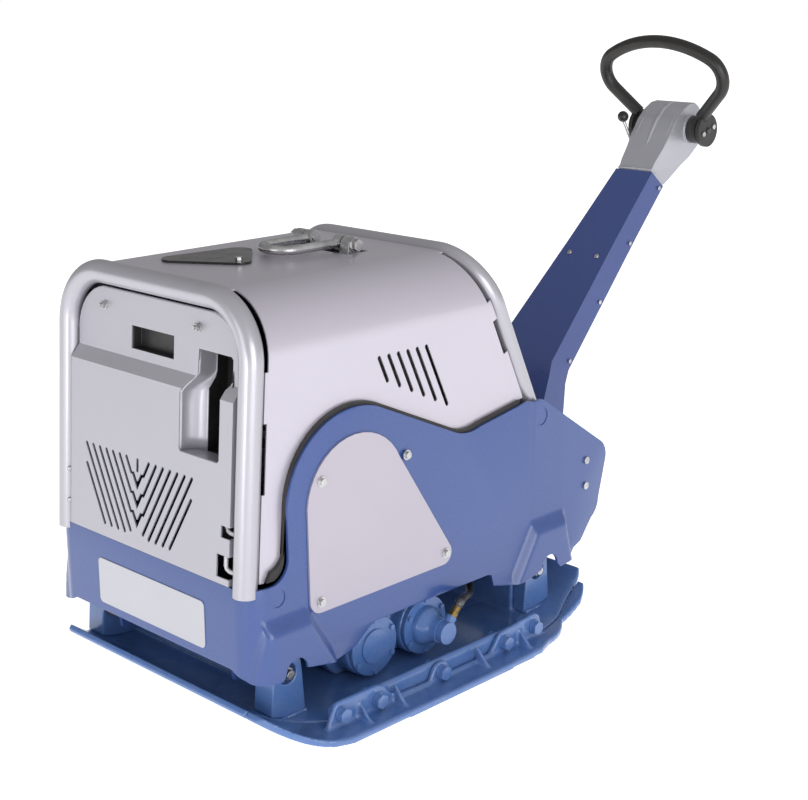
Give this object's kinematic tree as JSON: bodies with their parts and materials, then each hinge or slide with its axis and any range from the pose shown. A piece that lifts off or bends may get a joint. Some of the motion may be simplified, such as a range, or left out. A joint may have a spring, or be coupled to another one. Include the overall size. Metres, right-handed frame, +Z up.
{
  "type": "plate compactor",
  "caption": "Reversible vibratory plate compactor: rockered base plate with exciter, sprung engine frame with hood, lifting bail, tow bar and travel grip.",
  "frame": {"origin": "middle of the base plate's sole, on the ground", "axes": "+Z up, -Y the grille end, +Y the tow bar end, +X the side with the extension plate"},
  "size_m": [0.793, 1.6853, 1.1724],
  "materials": {
    "blue_paint": "gloss",
    "silver_paint": "satin metallic",
    "zinc": "bright zinc",
    "machined_steel": "machined",
    "rubber": "matt",
    "black_plastic": "matt",
    "brass": "satin",
    "cast_iron": "cast",
    "cast_alloy": "cast, painted silver",
    "black_paint": "satin",
    "white_plate": "satin",
    "gear_steel": "machined"
  },
  "bodies": {
    "base": {"base_plate": "blue_paint", "buffer_lugs": "blue_paint", "extension_plate": "blue_paint", "extension_bolts": "blue_paint", "exciter_housing": "blue_paint", "exciter_covers": "blue_paint", "cover_bolts": "blue_paint", "exciter_bearings": "machined_steel", "phase_cylinder": "blue_paint", "hose_fitting": "brass", "buffer_bolts": "zinc"},
    "frame": {"rubber_buffers": "rubber", "hydraulic_hose": "rubber", "drive_belt": "rubber", "frame_side_right": "blue_paint", "frame_side_left": "blue_paint", "frame_front": "blue_paint", "frame_rear": "blue_paint", "engine_deck": "blue_paint", "buffer_brackets": "blue_paint", "front_tube": "silver_paint", "rear_tube": "silver_paint", "hood": "silver_paint", "hood_seals": "rubber", "rear_panel": "silver_paint", "control_pocket": "silver_paint", "meter_window": "black_plastic", "side_covers": "silver_paint", "side_cover_screws": "zinc", "name_plate": "white_plate", "engine_block": "cast_iron", "cylinder_head": "cast_alloy", "muffler": "black_paint", "air_filter": "black_plastic", "fuel_tank": "black_plastic", "battery": "black_plastic", "radiator_fan": "black_plastic", "lifting_column": "zinc", "bail_bolts": "zinc", "flap_bolt": "zinc", "bar_hinge_pin": "machined_steel"},
    "front_exciter": {"front_exciter_shaft": "machined_steel", "front_exciter_gear": "gear_steel", "exciter_pulley": "machined_steel"},
    "rear_exciter": {"rear_exciter_shaft": "machined_steel", "rear_exciter_gear": "gear_steel"},
    "phase_piston": {"phase_piston": "machined_steel"},
    "crankshaft": {"crankshaft": "machined_steel"},
    "clutch_drum": {"clutch_drum": "machined_steel"},
    "door": {"front_panel": "silver_paint", "panel_nuts": "zinc"},
    "bail": {"lifting_bail": "zinc"},
    "flap": {"filler_flap": "black_paint"},
    "tow_bar": {"tow_bar": "blue_paint", "bar_screws": "zinc", "bar_head": "cast_alloy"},
    "grip": {"grip_loop": "rubber", "grip_hub": "black_plastic", "grip_screws": "zinc"},
    "throttle": {"throttle_lever": "zinc"}
  },
  "joints": [
    {"name": "buffer_travel", "type": "slide", "parent": "base", "child": "frame", "axis": [0, 0, 1], "range_m": [-0.008, 0.006], "stiffness_N_per_m": 1600000, "springref_m": 0.0022, "deforming": ["rubber_buffers", "hydraulic_hose", "drive_belt"]},
    {"name": "front_exciter_spin", "type": "hinge", "parent": "base", "child": "front_exciter", "pos_m": [0, -0.13, 0.082], "axis": [1, 0, 0], "continuous": true},
    {"name": "rear_exciter_spin", "type": "hinge", "parent": "base", "child": "rear_exciter", "pos_m": [0, 0.01, 0.082], "axis": [1, 0, 0], "continuous": true},
    {"name": "phase_piston_slide", "type": "slide", "parent": "base", "child": "phase_piston", "axis": [1, 0, 0], "range_m": [-0.014, 0.014]},
    {"name": "crankshaft_spin", "type": "hinge", "parent": "frame", "child": "crankshaft", "pos_m": [0, -0.04, 0.33], "axis": [1, 0, 0], "continuous": true},
    {"name": "clutch_drum_spin", "type": "hinge", "parent": "frame", "child": "clutch_drum", "pos_m": [-0.252, -0.04, 0.33], "axis": [1, 0, 0], "continuous": true},
    {"name": "door_hinge", "type": "hinge", "parent": "frame", "child": "door", "pos_m": [0, -0.443, 0.29], "axis": [1, 0, 0], "range_deg": [0, 75]},
    {"name": "bail_hinge", "type": "hinge", "parent": "frame", "child": "bail", "pos_m": [0, 0.02, 0.812], "axis": [1, 0, 0], "range_deg": [-140, 0]},
    {"name": "flap_swivel", "type": "hinge", "parent": "frame", "child": "flap", "pos_m": [0.005, -0.208, 0.8], "axis": [0, 0, 1], "range_deg": [0, 75]},
    {"name": "tow_bar_hinge", "type": "hinge", "parent": "frame", "child": "tow_bar", "pos_m": [0, 0.528, 0.306], "axis": [1, 0, 0], "range_deg": [0, 45]},
    {"name": "travel_grip_hinge", "type": "hinge", "parent": "tow_bar", "child": "grip", "pos_m": [0, 1.186, 0.948], "axis": [1, 0, 0], "range_deg": [-25, 25]},
    {"name": "throttle_hinge", "type": "hinge", "parent": "tow_bar", "child": "throttle", "pos_m": [-0.058, 1.116, 0.892], "axis": [1, 0, 0], "range_deg": [-20, 40]}
  ],
  "couplings": [
    {"joint": "rear_exciter_spin", "follows": "front_exciter_spin", "ratio": -1},
    {"joint": "clutch_drum_spin", "follows": "front_exciter_spin", "ratio": 0.7},
    {"joint": "phase_piston_slide", "follows": "travel_grip_hinge", "m_per_rad": 0.03}
  ]
}
